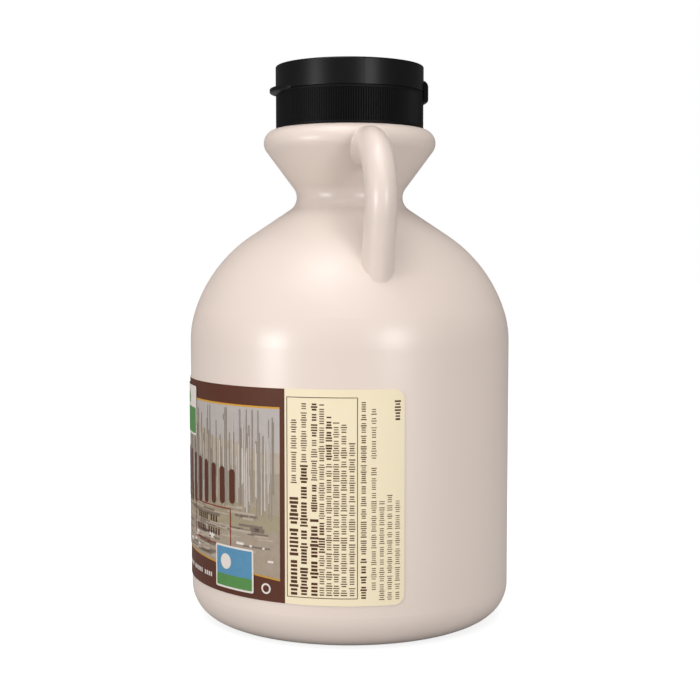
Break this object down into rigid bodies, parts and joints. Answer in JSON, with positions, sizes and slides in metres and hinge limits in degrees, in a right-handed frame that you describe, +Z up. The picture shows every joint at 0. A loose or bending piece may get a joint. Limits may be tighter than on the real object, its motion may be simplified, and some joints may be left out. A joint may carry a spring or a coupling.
{
  "type": "syrup jug",
  "caption": "Round beige plastic syrup jug with a ring handle beside its neck, a ribbed dark flip-top closure and a wrap label.",
  "frame": {"origin": "middle of the base, on the plane the jug stands on", "axes": "+Z up the jug's axis; the handle points to +X; the middle of the label and the closure's thumb tab face -Y, and the closure's hinge faces +Y"},
  "size_m": [0.0832, 0.0832, 0.1423],
  "materials": {
    "jug_plastic": "opaque warm beige blow-moulded polyethylene, satin",
    "closure_plastic": "near-black moulded polypropylene, satin",
    "label_film": "coated label stock with flat printed colours"
  },
  "bodies": {
    "root": {"jug": "jug_plastic", "closure_base": "closure_plastic", "closure_lid": "closure_plastic", "closure_hinge": "closure_plastic", "label": "label_film"}
  },
  "joints": []
}
